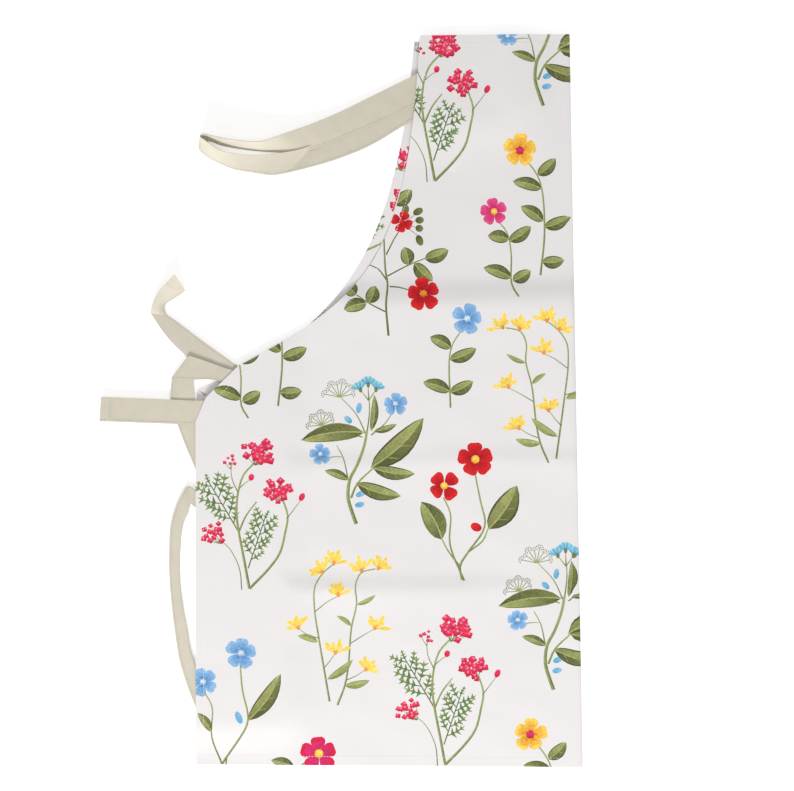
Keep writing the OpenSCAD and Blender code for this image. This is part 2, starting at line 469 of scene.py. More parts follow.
    def dill(self, foot, radius, lean=90):
        foot = np.array(foot, float)
        for k in range(8):
            angle = math.radians(lean - 77 + 22 * k)
            reach = radius * (0.9 + 0.2 * (k % 2))
            end = foot + reach * towards(angle)
            self.stem([foot, (foot + end) / 2, end], 0.8, PALE_STEM, STEM)
            for j in range(5):
                spread = angle + math.radians(-64 + 32 * j)
                tip = end + 0.26 * radius * towards(spread)
                thin = 0.28 * leftwards(spread)
                self.fill([end - thin, tip, end + thin], PALE_STEM, STEM, end, tip)
                self.disc(tip, 0.75, INK_DOT, STEM, 4)

    def fern(self, base, tip, pairs=5):
        """An open feathery leaf: leaflets in uneven pairs, each with a few long teeth."""
        base, tip = np.array(base, float), np.array(tip, float)
        way = tip - base
        length = np.linalg.norm(way)
        way = way / length
        heading = math.atan2(way[1], way[0])
        for k in range(pairs):
            for sign in (1, -1):
                t = 0.2 + 0.72 * (k + 0.25 * sign) / pairs + self.draw.uniform(-0.02, 0.02)
                reach = length * 0.36 * math.sin(math.pi * (0.24 + 0.6 * t)) * self.draw.uniform(0.8, 1.1)
                angle = heading + sign * self.draw.uniform(0.75, 1.0)
                self.frond(base + t * length * way, angle, reach, sign)
        self.frond(base + 0.84 * length * way, heading, length * 0.18, 1)
        self.stem([base, base + 0.5 * length * way, tip - 0.08 * length * way], 1.2, STEM, FERN)

    def frond(self, base, angle, length, sign):
        """A narrow leaflet that curves towards the tip of the leaf, with teeth on both sides."""
        t = np.linspace(0, 1, 5)
        turned = angle - sign * 0.35 * t
        step = np.stack([np.cos(turned), np.sin(turned)], axis=1) * length / 4
        rib = base + np.vstack([[0, 0], np.cumsum(step[:-1], axis=0)])
        side = np.stack([-np.sin(turned), np.cos(turned)], axis=1)
        up, down = [rib[0] + 0.5 * side[0]], [rib[0] - 0.5 * side[0]]
        for k in range(1, 4):
            tooth = rib[k] + 0.75 * step[k]
            reach = length * self.draw.uniform(0.24, 0.34) * (1.1 - 0.5 * t[k])
            gap = rib[k] + 0.6 * step[k]
            up += [rib[k] + 0.6 * side[k], tooth + reach * side[k], gap + 0.9 * side[k]]
            down += [rib[k] - 0.6 * side[k], tooth - reach * side[k], gap - 0.9 * side[k]]
        self.fill(up + [rib[4] + 0.3 * step[4]] + down[::-1], FERN, PALE_FERN, rib[0], rib[4])

    def cornflower(self, foot, radius, lean=90):
        foot = np.array(foot, float)
        for k in range(4):
            angle = math.radians(lean - 48 + 32 * k)
            way, side = towards(angle), leftwards(angle)
            profile = ((0.15, 0.05), (0.8, 0.2), (1.08, 0.24), (0.93, 0.1), (1.16, 0.03), (0.95, -0.1),
                       (1.06, -0.24), (0.8, -0.2), (0.15, -0.05))
            points = [foot + radius * (a * way + b * side) for a, b in profile]
            self.fill(points, TEAL * 0.8, PALE_TEAL, foot, foot + radius * way)
        self.bud(foot - [0, radius * 0.3], foot + [0, radius * 0.35], radius * 0.4, LEAF, STEM)

    def spray(self, foot, size, lean=90, petals=6):
        """Narrow yellow petals that fan out from an orange base, in two tiers."""
        foot = np.array(foot, float)
        amber = 0.1 * ORANGE + 0.9 * YELLOW
        for k in range(petals):
            angle = math.radians(lean + (k - (petals - 1) / 2) * 25 + self.draw.uniform(-7, 7))
            length = size * self.draw.uniform(0.95, 1.25) * (1 - 0.22 * (k % 2))
            self.petal(foot, angle, length, size * 0.34, amber, YELLOW, notch=0, inner=0.15)
            tip = foot + 0.4 * length * towards(angle)
            thin = 0.05 * size * leftwards(angle)
            self.fill([foot + thin, foot - thin, tip], ORANGE * 0.8, ORANGE, foot, tip)
        self.disc(foot, size * 0.13, ORANGE, ORANGE * 0.75, 7)


# ---- The plants ----

BLUE_BLOOM = (BLUE, PALE_BLUE, ICE, BLUE)


def red_fern(pen):
    pen.stem([(-8, -1), (-10, 21), (-20, 42), (-31, 52)], 1.0)
    pen.fern((-10, 59), (-44, 118))
    pen.fern((-1, 21), (20, 80))
    pen.stem([(0, 0), (-6, 36), (-10, 59), (-12, 79), (-10, 100), (-4, 118), (8, 131)], 2.3)
    pen.stem([(0, 0), (21, 21), (32, 36), (38, 57), (41, 75), (36, 92)], 2.3)
    pen.stem([(-10, 59), (-2, 76), (9, 90)], 1.7)
    pen.stem([(-10, 100), (-16, 114), (-17, 126)], 1.0)
    pen.stem([(-9, 104), (-2, 110), (3, 113)], 0.9)
    pen.stem([(40, 72), (48, 82), (55, 91)], 0.9)
    pen.umbel((13, 142), 16.5, 19, (8, 128))
    pen.umbel((30, 101), 15.5, 17, (36, 90))
    pen.umbel((-17, 134), 8, 6, (-17, 124))
    pen.umbel((-37, 58), 13.5, 13, (-28, 47))
    pen.bud((3, 112), (5, 119), 6, CRIMSON, PINK)
    pen.bud((54, 90), (58, 98), 6, CRIMSON, PINK)


def blue_bouquet(pen):
    pen.stem([(14, 92), (4, 114), (-12, 132)], 1.1)
    pen.dill((-13, 132), 14)
    pen.stem([(10, 90), (-8, 96), (-30, 103)], 1.1)
    pen.dill((-32, 103), 12, 105)
    pen.stem([(15, 95), (18, 118), (17, 138)], 1.3)
    for spot, lean in (((9, 139), 110), ((17, 144), 90), ((25, 139), 68)):
        pen.stem([(17, 128), (np.array(spot) + (17, 128)) / 2, spot], 0.9)
        pen.cornflower(spot, 9, lean)
    pen.stem([(19, 92), (34, 104), (42, 116)], 1.2)
    pen.flower((45, 124), 12.5, 5, *BLUE_BLOOM)
    pen.stem([(-34, 66), (-22, 70), (-12, 70)], 1.0)
    pen.flower((-34, 73), 11.5, 5, *BLUE_BLOOM, 100)
    for base, tip in (((6, 115), (8, 126)), ((-1, 105), (-8, 112)),
                      ((2, 29), (12, 33)), ((1, 19), (11, 21))):
        pen.bud(base, tip, 6, TEAL, PALE_BLUE)
    pen.leaf((19, 96), (23, 134), 8)
    pen.leaf((12, 95), (-54, 88), 19, LEAF, DARK_LEAF)
    pen.leaf((22, 96), (46, 103), 7)
    pen.leaf((18, 58), (74, 109), 24)
    pen.leaf((20, 58), (64, 51), 14)
    pen.leaf((3, 42), (49, 28), 16)
    pen.leaf((-5, 46), (-30, 56), 9)
    pen.stem([(-6, 48), (-10, 68), (-17, 82)], 1.2)
    pen.stem([(-3, 27), (4, 42), (21, 58)], 2.0)
    pen.stem([(2, 0), (-3, 15), (-6, 27), (-4, 46), (4, 61), (12, 82), (15, 97)], 3.2)


def round_leaves(pen, leaves, width=13.5):
    for base, tip in leaves:
        pen.leaf(base, tip, width, full=0.62)


def orange_flower(pen):
    pen.stem([(0, 0), (5, 44), (3, 90), (-2, 105), (-14, 122)], 1.8)
    round_leaves(pen, (((-1, 104), (18, 121)), ((3, 90), (-27, 98)), ((4, 56), (-19, 72)),
                       ((5, 50), (31, 60)), ((2, 14), (25, 15))))
    pen.flower((-19, 130), 18, 5, ORANGE, YELLOW, DEEP_PINK, RED, 84)


def pink_flower(pen):
    pen.stem([(0, 0), (-7, 13), (-7, 45), (-11, 67), (-21, 80)], 1.6)
    round_leaves(pen, (((-9, 58), (14, 73)), ((-9, 60), (-31, 64)),
                       ((-7, 20), (-36, 31)), ((-6, 17), (13, 27))))
    pen.flower((-24, 89), 14.5, 5, DEEP_PINK, ROSE, YELLOW, ORANGE, 96)


def blue_flower(pen):
    pen.stem([(0, 0), (0, 53), (4, 67), (16, 84)], 1.6)
    round_leaves(pen, (((2, 62), (-20, 74)), ((0, 50), (28, 61)),
                       ((0, 17), (-28, 27)), ((0, 16), (24, 27))))
    pen.flower((19, 92), 16.5, 5, *BLUE_BLOOM, 78)


def red_branch(pen):
    for points in ([(0, 62), (22, 73), (40, 80)], [(-1, 58), (-10, 70), (-22, 75)],
                   [(-3, 25), (-18, 33), (-34, 44)], [(-1, 84), (8, 101), (14, 110)],
                   [(2, 51), (12, 50), (22, 47)]):
        pen.stem(points, 1.3, BROWN_STEM, STEM)
    for tip in ((20, 128), (31, 126), (32, 119), (31, 112), (33, 103)):
        pen.stem([(16, 116), ((16 + tip[0]) / 2, (116 + tip[1]) / 2), tip], 0.6, BROWN_STEM, STEM)
    for base, tip in (((19, 125), (21, 136)), ((28, 126), (38, 131)), ((30, 119), (39, 120)),
                      ((30, 112), (38, 110)), ((32, 104), (36, 93))):
        pen.bud(base, tip, 7.5, DARK_LEAF, LEAF)
    leaves = (((22, 73), (18, 92)), ((39, 79), (64, 88)), ((28, 75), (47, 56)), ((-22, 75), (-38, 82)),
              ((-20, 34), (-13, 52)), ((-22, 34), (-46, 28)), ((-33, 43), (-44, 53)), ((8, 136), (27, 151)))
    round_leaves(pen, leaves, 14.5)
    pen.stem([(0, 0), (-2, 33), (0, 53), (-2, 68), (-3, 101)], 2.0, BROWN_STEM, STEM)
    pen.flower((16, 118), 11.5, 4, RED, BRIGHT_RED, BRIGHT_RED, RED, 70)
    pen.flower((37, 43), 18, 5, RED, BRIGHT_RED, ORANGE, RED, 98)


def poppies(pen):
    pen.leaf((-20, 42), (-41, 82), 23, LEAF, DARK_LEAF)
    pen.leaf((28, 52), (59, 97), 25)
    pen.stem([(-2, 14), (-14, 30), (-20, 42)], 1.6)
    pen.stem([(7, 29), (22, 40), (28, 53)], 1.6)
    pen.stem([(0, 0), (-2, 14), (7, 29), (22, 49), (25, 60), (21, 79), (15, 112)], 2.0)
    pen.stem([(2, -1), (-12, 37), (-11, 69), (-18, 86)], 1.8)
    pen.bud((21, 52), (10, 57), 9, RED, BRIGHT_RED)
    pen.flower((16, 125), 18.5, 5, RED, BRIGHT_RED, YELLOW, ORANGE, 94, 1.08)
    pen.flower((-17, 98), 16.5, 4, RED, BRIGHT_RED, YELLOW, ORANGE, 40, 0.95)


def yellow_plant(pen):
    stems = ([(-4, 2), (-8, 28), (-14, 68), (-18, 99), (-17, 122), (-8, 136), (3, 145)],
             [(4, -2), (12, 18), (16, 38), (20, 78), (26, 104), (25, 122), (31, 135), (46, 139)])
    sprays = ((3, 145, 78), (-9, 136, 128), (49, 139, 60), (32, 137, 108), (7, 112, 90), (-35, 79, 112),
              (3, 52, 88), (44, 77, 66), (34, 34, 60))
    twigs = ([(-17, 96), (-4, 106), (6, 111)], [(-14, 68), (-26, 72), (-34, 78)],
             [(-10, 36), (-3, 44), (2, 51)], [(19, 62), (32, 70), (43, 76)], [(14, 24), (24, 28), (33, 34)])
    for points in stems:
        pen.stem(points, 1.7)
    for points in twigs:
        pen.stem(points, 0.9)
    for base, tip, width in (((-15, 64), (-36, 71), 7), ((-6, 25), (21, 45), 8), ((12, 18), (38, 23), 8),
                             ((20, 80), (5, 91), 5), ((26, 102), (46, 112), 5)):
        pen.leaf(base, tip, width, LEAF, LIGHT_LEAF)
    for x, y, lean in sprays:
        pen.spray((x, y), 14, lean)


def blue_pair(pen):
    pen.stem([(0, 0), (27, 41), (28, 52), (23, 76), (21, 104)], 1.9)
    pen.stem([(0, 0), (-10, 29), (-9, 60), (-17, 76)], 1.5)
    pen.stem([(5, 8), (4, -8), (8, -16)], 1.5)
    pen.leaf((28, 45), (63, 93), 17)
    pen.leaf((-10, 34), (-24, 54), 9, BROWN_STEM, LEAF)
    pen.bud((21, 42), (16, 55), 7, TEAL, PALE_BLUE)
    pen.flower((22, 115), 17, 5, *BLUE_BLOOM, 80)
    pen.flower((-18, 86), 15, 5, *BLUE_BLOOM, 110)


def low_flower(pen):
    pen.stem([(-26, -18), (-16, -10), (-6, -4)], 1.6)
    pen.leaf((-26, -14), (-50, -6), 11)
    pen.flower((0, 0), 19.5, 5, DEEP_PINK, CRIMSON, YELLOW, ORANGE, 90)


REPEAT = 607       # the print repeats this far up the cloth
PLANT_H = 160      # no plant is taller
# Each plant, where its foot is on the opened cloth, and whether it is turned left for right.
LAYOUT = (
    (red_fern, -341, 192), (red_fern, -141, 5), (blue_bouquet, -231, 257), (blue_bouquet, -29, 81),
    (orange_flower, -33, 512), (pink_flower, -56, 490), (red_branch, -192, 452), (pink_flower, -339, 369),
    (orange_flower, -308, 381), (blue_flower, -129, 376), (yellow_plant, -24, 319, True),
    (yellow_plant, -256, 71), (poppies, -120, 197), (blue_pair, -373, 10), (low_flower, -272, 19),
    (pink_flower, 62, 600), (orange_flower, 112, 622), (poppies, 74, 425), (red_fern, 178, 498),
    (yellow_plant, 160, 300), (blue_bouquet, 268, 330), (red_branch, 352, 225), (blue_flower, 76, 270),
    (red_fern, 252, 128), (yellow_plant, 332, 20), (poppies, 128, 105), (blue_pair, 208, 2),
)


def draw_print():
    page = Print()
    for plant, x, y, *flip in LAYOUT:
        for shift in (-REPEAT, 0, REPEAT):
            if -PLANT_H < y + shift < APRON_L:
                plant(Pen(page, x, y + shift, bool(flip)))
    return page


page = draw_print()


# ---- Meshes ----

class Solid:
    """Collects vertices and faces with their material, flat place, ink and share of the second body."""

    def __init__(self):
        self.verts = []
        self.faces = []
        self.slots = []
        self.flat = []
        self.share = []
        self.ink = []
        self.count = 0

    def add(self, verts, faces, flat, share, slot=0, ink=None):
        """faces holds arrays with one row a face, and ink has one colour a corner, in their order."""
        corners = sum(f.size for f in faces)
        self.verts.append(verts)
        self.faces += [f + self.count for f in faces]
        self.slots += [np.full(len(f), slot) for f in faces]
        self.flat.append(flat)
        self.share.append(np.broadcast_to(share, len(verts)))
        self.ink.append(np.zeros((corners, 4)) if ink is None else ink)
        self.count += len(verts)

    def build(self, name, materials, sharp=50):
        mesh = bpy.data.meshes.new(name)
        sizes = np.concatenate([np.full(len(f), f.shape[1]) for f in self.faces])
        corners = np.concatenate([f.ravel() for f in self.faces])
        mesh.vertices.add(self.count)
        mesh.vertices.foreach_set("co", place(np.vstack(self.verts)).ravel())
        mesh.loops.add(len(corners))
        mesh.loops.foreach_set("vertex_index", corners)
        mesh.polygons.add(len(sizes))
        mesh.polygons.foreach_set("loop_start", np.r_[0, np.cumsum(sizes)[:-1]])
        mesh.polygons.foreach_set("material_index", np.concatenate(self.slots))
        mesh.update(calc_edges=True)
        flat = np.vstack(self.flat)[corners] / 1000
        mesh.uv_layers.new(name="flat").data.foreach_set("uv", flat.ravel())
        ink = mesh.color_attributes.new("ink", "FLOAT_COLOR", "CORNER")
        ink.data.foreach_set("color", np.vstack(self.ink).ravel())
        mesh.shade_smooth()
        mesh.set_sharp_from_angle(angle=math.radians(sharp))
        for material in materials:
            mesh.materials.append(material)
        obj = bpy.data.objects.new(name, mesh)
        bpy.context.scene.collection.objects.link(obj)
        return obj


def ride_between(obj):
    """Bakes the piece's placement into its mesh."""
    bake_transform(obj)


def close_sheet(middle, normal, thickness, triangles):
    """A sheet with two faces and a rim. Returns its vertices and its faces, outer, inner and rim."""
    count = len(middle)
    verts = np.vstack([middle + normal * thickness / 2, middle - normal * thickness / 2])
    a, b = boundary_edges(triangles).T
    rim = np.stack([b, a, a + count, b + count], axis=1)
    return verts, [triangles, triangles[:, ::-1] + count, rim]


def inked(points, corners, top):
    """The print's colour at each corner, given the uppermost shape there (0 is bare cloth)."""
    near, far = np.array(page.near), np.array(page.far)
    origin, axis = np.array(page.origin), np.array(page.axis)
    shape = np.repeat(top, 3)
    drawn = shape > 0
    index = shape[drawn] - 1
    t = ((points[corners.ravel()[drawn]] - origin[index]) * axis[index]).sum(1)
    t = np.clip(t, 0, 1)[:, None]
    colours = np.zeros((len(shape), 4))
    colours[drawn, :3] = near[index] * (1 - t) + far[index] * t
    colours[drawn, 3] = 1
    return colours


def signed_area(outline):
    """Above 0 when the outline runs anticlockwise."""
    (x, y), (next_x, next_y) = outline.T, np.roll(outline, -1, axis=0).T
    return 0.5 * (np.dot(x, next_y) - np.dot(y, next_x))


def winding(points, outline):
    """True for the points that lie inside an outline, even where it crosses itself."""
    turns = np.zeros(len(points), int)
    for (ax, ay), (bx, by) in zip(outline, np.roll(outline, -1, axis=0)):
        left = (bx - ax) * (points[:, 1] - ay) - (points[:, 0] - ax) * (by - ay)
        turns += (ay <= points[:, 1]) & (points[:, 1] < by) & (left > 0)
        turns -= (by <= points[:, 1]) & (points[:, 1] < ay) & (left < 0)
    return turns != 0


def uppermost(centres, shapes):
    """The last drawn shape over each point, counted from 1, or 0 where the cloth is bare."""
    order = centres[:, 0].argsort()
    sorted_x = centres[order, 0]
    top = np.zeros(len(centres), int)
    for k in shapes:
        outline = page.outlines[k]
        low, high = outline.min(0), outline.max(0)
        near = order[np.searchsorted(sorted_x, low[0]):np.searchsorted(sorted_x, high[0])]
        near = near[(centres[near, 1] >= low[1]) & (centres[near, 1] <= high[1])]
        if len(near):
            top[near[winding(centres[near], outline)]] = k + 1
    return top


def printed_triangles(outline, extra, least=0):
    """Cuts the inside of an outline into triangles that follow the edges of the print and the fold.

    Shapes smaller than least, in square millimetres, are left out."""
    if signed_area(outline) < 0:
        outline = outline[::-1]
    low, high = outline.min(0), outline.max(0)
    shapes = [k for k, shape in enumerate(page.outlines)
              if (shape.max(0) > low).all() and (shape.min(0) < high).all()
              and abs(signed_area(shape)) >= least]
    points = [outline]
    edges = []
    count = len(outline)
    for k in shapes:
        size = len(page.outlines[k])
        edges += [(count + i, count + (i + 1) % size) for i in range(size)]
        points.append(page.outlines[k])
        count += size
    for u in FOLD_COLUMNS[(FOLD_COLUMNS > low[0]) & (FOLD_COLUMNS < high[0])]:
        edges.append((count, count + 1))
        points.append([(u, low[1] - 1), (u, high[1] + 1)])
        count += 2
    points.append(extra)
    places = [Vector(p) for p in np.vstack(points)]
    cut = geometry.delaunay_2d_cdt(places, edges, [list(range(len(outline)))], 1, 1e-3, False)
    verts = np.array([tuple(p) for p in cut[0]])
    triangles = np.array([f for f in cut[2] if len(f) == 3])
    triangles = triangles[winding(verts[triangles].mean(1), outline)]
    used, triangles = np.unique(triangles, return_inverse=True)
    verts, triangles = verts[used], triangles.reshape(-1, 3)
    return verts, triangles, uppermost(verts[triangles].mean(1), shapes)


SHOW_THROUGH = 0.14   # how much of the print shows on the wrong side


def faded(ink):
    ink = ink.copy()
    ink[:, 3] *= SHOW_THROUGH
    return ink


def grid_points(spacing):
    us = np.arange(12, HALF_W, spacing)
    us = np.r_[-us[::-1], FOLD_COLUMNS, us]
    vs = np.arange(spacing / 2, APRON_L, spacing)
    return np.stack(np.meshgrid(us, vs), axis=-1).reshape(-1, 2)


def boundary_edges(triangles):
    """The edges that only one face has, in that face's direction."""
    sides = triangles.shape[1]
    edges = np.vstack([triangles[:, [k, (k + 1) % sides]] for k in range(sides)])
    count = triangles.max() + 1
    lone = ~np.isin(edges[:, 0] * count + edges[:, 1], edges[:, 1] * count + edges[:, 0])
    return edges[lone]


GRID = 7.5         # spacing of the points that let the cloth bend, twice as far on the wrong side
LEAST_SHOWN = 48   # smallest shape, in square millimetres, that shows through to the wrong side


def panel():
    """The whole printed cloth, from side hem to side hem round the fold."""
    flat, triangles, top = printed_triangles(OUTLINE, grid_points(GRID))
    following = dict(boundary_edges(triangles).tolist())
    loop = [next(iter(following))]
    while following[loop[-1]] != loop[0]:
        loop.append(following[loop[-1]])
    wrong, wrong_triangles, wrong_top = printed_triangles(flat[loop], grid_points(2 * GRID), LEAST_SHOWN)
    partner = ((wrong[None] - flat[loop][:, None]) ** 2).sum(2).argmin(1) + len(flat)
    rim = np.stack([np.roll(loop, -1), loop, partner, np.roll(partner, -1)], axis=1)
    half = CLOTH_T / 2
    verts = np.vstack([cloth_point(*flat.T) + half * cloth_normal(*flat.T),
                       cloth_point(*wrong.T) - half * cloth_normal(*wrong.T)])
    turned = wrong_triangles[:, ::-1]
    shown = faded(inked(wrong, turned, wrong_top))
    ink = np.vstack([inked(flat, triangles, top), shown, np.zeros((rim.size, 4))])
    both = np.vstack([flat, wrong])
    solid = Solid()
    solid.add(verts, [triangles, turned + len(flat), rim], both, front_share(both[:, 0]), 0, ink)
    return solid


def hem(edge, depth):
    """The turned-in strip along an edge. It shows the print that lies past the edge of the cut."""
    line = even_line(edge, 3)
    out = right_of(line)
    rows = [line + out * d for d in np.linspace(0, depth, 5)]
    outline = np.vstack([rows[-1], line[::-1]])
    past, triangles, top = printed_triangles(outline, np.vstack(rows[1:-1]))
    apart = past[:, None] - line[None]
    nearest = (apart ** 2).sum(2).argmin(1)
    way = headings(line)[nearest]
    offset = past - line[nearest]
    foot = line[nearest] + (offset * way).sum(1)[:, None] * way
    flat = 2 * foot - past
    u, v = flat.T
    normal = -cloth_normal(u, v)
    middle = cloth_point(u, v) + normal * (CLOTH_T + HEM_T) / 2
    first, second, third = (flat[triangles[:, k]] for k in range(3))
    area = np.cross(second - first, third - first)
    facing = np.where(area[:, None] < 0, triangles, triangles[:, ::-1])
    verts, faces = close_sheet(middle, normal, HEM_T, facing)
    ink = inked(past, facing, top)
    solid = Solid()
    both = np.vstack([ink, faded(inked(past, facing[:, ::-1], top)), np.zeros((faces[2].size, 4))])
    solid.add(verts, faces, np.vstack([past, past]), np.tile(front_share(u), 2), 0, both)
    return solid


# Rings of one stitch: place along its half length, height, radius.
STITCH_RINGS = ((-1.0, -0.14, 0.12), (-0.72, 0.06, 0.22), (0, 0.13, 0.26),
                (0.72, 0.06, 0.22), (1.0, -0.14, 0.12))
STITCH_SIDES = 6


def stitches(centres, ways, normals, half_length=1.15):
    """Short raised threads. Returns their vertices, their faces, and how many vertices each has."""
    count = len(centres)
    across = np.cross(normals, ways)
    rings = []
    for along, height, radius in STITCH_RINGS:
        for k in range(STITCH_SIDES):
            angle = 2 * math.pi * k / STITCH_SIDES
            lift = height + radius * math.sin(angle)
            aside = across * radius * math.cos(angle)
            rings.append(centres + ways * along * half_length + normals * lift + aside)
    verts = np.stack(rings, axis=1).reshape(-1, 3)
    per = len(STITCH_RINGS) * STITCH_SIDES
    quads = []
    for r in range(len(STITCH_RINGS) - 1):
        for k in range(STITCH_SIDES):
            n = (k + 1) % STITCH_SIDES
            quads.append([r * STITCH_SIDES + k, r * STITCH_SIDES + n,
                          (r + 1) * STITCH_SIDES + n, (r + 1) * STITCH_SIDES + k])
    caps = [list(range(STITCH_SIDES))[::-1], [per - STITCH_SIDES + k for k in range(STITCH_SIDES)]]
    starts = (np.arange(count) * per)[:, None, None]
    quads = (np.array(quads)[None] + starts).reshape(-1, 4)
    caps = (np.array(caps)[None] + starts).reshape(-1, STITCH_SIDES)
    return verts, [quads, caps], per


def hem_stitch_rows():
    """Rows of stitches that hold the hems, on both faces of the cloth."""
    solid = Solid()
    for name, edge in EDGES.items():
        depth = WIDE_HEM if name in ("bottom", "bib") else HEM_W
        line = even_line(edge, 3.1)
        inside = line - right_of(line) * (depth - STITCH_IN)
        inside = inside[3:-3]
        u, v = inside.T
        normal = cloth_normal(u, v)
        middle = cloth_point(u, v)
        way = headings(middle)
        way = way - (way * normal).sum(1)[:, None] * normal
        for side, height in ((1, CLOTH_T / 2), (-1, CLOTH_T / 2 + HEM_T)):
            centres = middle + side * normal * (height - 0.12)
            verts, faces, per = stitches(centres, way, side * normal)
            solid.add(verts, faces, np.repeat(inside, per, axis=0), np.repeat(front_share(u), per))
    return solid


# ---- Tapes ----

ROW_PLACES = (0, 0.47, 0.5, 0.53, 1)   # shares of a tape's width at which a section is given
TAPE_STITCH = 3.2                      # from one stitch to the next
STITCH_BED = 0.05                      # how far stitches sink into the tape


def flat_row(a, b, z, z_b=None):
    """A section straight across a tape, from edge a to edge b."""
    a = np.array([*a, z])
    b = np.array([*b, z if z_b is None else z_b])
    return np.concatenate([a + t * (b - a) for t in ROW_PLACES])


def doubled_row(outer, inner, z):
    """A section across a tape that is folded lengthwise, with its middle along inner."""
    outer, inner = np.array(outer, float), np.array(inner, float)
    out = (inner - outer) / np.linalg.norm(inner - outer)
    half = 0.42
    near = inner - 0.8 * out
    sections = [(outer, half), (near, half), (inner, 0), (near, -half), (outer + 1.5 * out, -half)]
    return np.concatenate([[p[0], p[1], z + lift] for p, lift in sections])


def fold_rows(a, b, way, z_from, z_to):
    """The tape turns over about the line from a to b, bulging along way."""
    rows = []
    middle, half = (z_from + z_to) / 2, (z_to - z_from) / 2
    way = np.array(way, float) / np.linalg.norm(way)
    for angle in np.linspace(-math.pi / 2, math.pi / 2, 7):
        out = abs(half) * math.cos(angle) * way
        rows.append(flat_row(np.add(a, out), np.add(b, out), middle + half * math.sin(angle)))
    return rows


def tape(rows, step=4, columns=13, stitched=(), share=None, seed=1, end_seams=()):
    """A woven tape through its sections, with rows of stitches at the given shares of its width.

    end_seams are rows of stitches across the tape, each from one point to another."""
    line = smooth_line(rows, step).reshape(-1, len(ROW_PLACES), 3)
    place_across = np.unique(np.r_[np.linspace(0, 1, columns), ROW_PLACES])
    middle = np.stack([[np.interp(place_across, ROW_PLACES, row[:, k]) for k in range(3)] for row in line])
    middle = middle.transpose(0, 2, 1)
    count, wide = middle.shape[:2]
    centre = middle[:, wide // 2]
    length = np.r_[0, np.cumsum(np.linalg.norm(np.diff(centre, axis=0), axis=1))]
    along, across = np.gradient(middle, axis=0), np.gradient(middle, axis=1)
    normal = np.cross(along, across)
    normal /= np.maximum(np.linalg.norm(normal, axis=2), 1e-9)[..., None]
    s, w = np.meshgrid(length, place_across * TIE_W, indexing="ij")
    middle = middle + normal * (0.05 * ripple(s, w * 0.4, 16, seed))[..., None]
    index = np.arange(count * wide).reshape(count, wide)
    quads = np.stack([index[:-1, :-1], index[1:, :-1], index[1:, 1:], index[:-1, 1:]], axis=-1)
    quads = quads.reshape(-1, 4)
    flat = np.stack([w, s], axis=-1).reshape(-1, 2)
    weight = np.zeros(count) if share is None else share(centre)
    solid = Solid()
    verts, faces = close_sheet(middle.reshape(-1, 3), normal.reshape(-1, 3), TAPE_T, quads)
    solid.add(verts, faces, np.vstack([flat, flat]), np.tile(np.repeat(weight, wide), 2))
    for at in stitched:
        k = int(np.abs(place_across - at).argmin())
        line_at = even_line(np.hstack([middle[:, k], normal[:, k], weight[:, None]]), TAPE_STITCH)[2:-2]
        centres, normals = line_at[:, :3], line_at[:, 3:6]
        normals = normals / np.linalg.norm(normals, axis=1)[:, None]
        way = headings(centres)
        for side in (1, -1):
            lifted = centres + side * normals * (TAPE_T / 2 - STITCH_BED)
            verts, faces, per = stitches(lifted, way, side * normals, 1.0)
            places = np.column_stack([np.full(len(centres), at * TIE_W), centres[:, 1]])
            solid.add(verts, faces, np.repeat(places, per, axis=0), np.repeat(line_at[:, 6], per), 1)
    for start, end in end_seams:
        centres = even_line([start, end], TAPE_STITCH)
        ways = headings(centres)
        normals = np.cross(ways, np.cross([0, 0, 1.0], ways))
        verts, faces, per = stitches(centres, ways, normals, 1.0)
        solid.add(verts, faces, np.repeat(centres[:, :2], per, axis=0), 0, 1)
    solid.length = length[-1]
    return solid


def front_tie():
    """Sewn end, fold, down the hip, a doubled loop past the side hem, and back up to its free end."""
    sewn, band = 4.75, 3.75
    rows = [flat_row((-342, 394), (-342, 416), sewn), flat_row((-367, 408), (-361, 421), sewn),
            flat_row((-396, 410), (-382, 429), sewn)]
    rows += fold_rows((-418, 411), (-399, 435), (-24, 19), sewn, band)
    rows += [flat_row((-419.5, 398), (-396, 412), band), flat_row((-419, 384), (-393, 388), band),
             flat_row((-413, 364), (-389, 364), band), flat_row((-404, 339), (-380, 339), band),
             flat_row((-395, 316), (-372, 312), band)]
    rows += fold_rows((-386, 282), (-366, 298), (10, -20), band, 3.0)
    rows += [flat_row((-402, 300), (-392, 276), 3.1)]
    outer = ((-410, 291), (-416, 279), (-422, 259), (-424, 227), (-424, 202), (-422, 173), (-419, 145),
             (-416, 123), (-411, 103))
    inner = ((-404, 270), (-408, 262), (-411, 248), (-413, 222), (-413, 200), (-410, 172), (-406, 148),
             (-403, 128), (-397, 108))
    rows += [doubled_row(a, b, 3.2) for a, b in zip(outer, inner)]
    rows += [flat_row((-404, 82), (-382, 90), 3.7, 3.3)]
    rows += fold_rows((-397, 64), (-373, 64), (0, -1), 3.7, sewn - 0.1)
    rows += [flat_row((-397, 90), (-373, 90), 4.7), flat_row((-392, 230), (-368, 230), 4.7),
             flat_row((-389, 330), (-365, 330), 4.4), flat_row((-388, 352), (-364, 360), 4.3)]
    rows += fold_rows((-388, 364), (-363, 389), (1, 1), 4.25, 4.9)
    hem_z = 5.55
    rows += [flat_row((-397, 363.5), (-386, 388), 4.9), flat_row((-440, 365.5), (-438, 391), 4.9),
             flat_row((-485, 368), (-483, 393.5), 4.9)]
    rows += fold_rows((-493, 368.3), (-491, 394), (-1, 0), 4.9, hem_z)
    rows += [flat_row((-487, 368), (-485, 393.7), hem_z), flat_row((-481.5, 368), (-480, 393.4), hem_z)]
    seam = hem_z + TAPE_T / 2 - STITCH_BED
    return tape(rows, stitched=(0.1,), seed=21, end_seams=[((-483.5, 369.5, seam), (-482, 392, seam))])


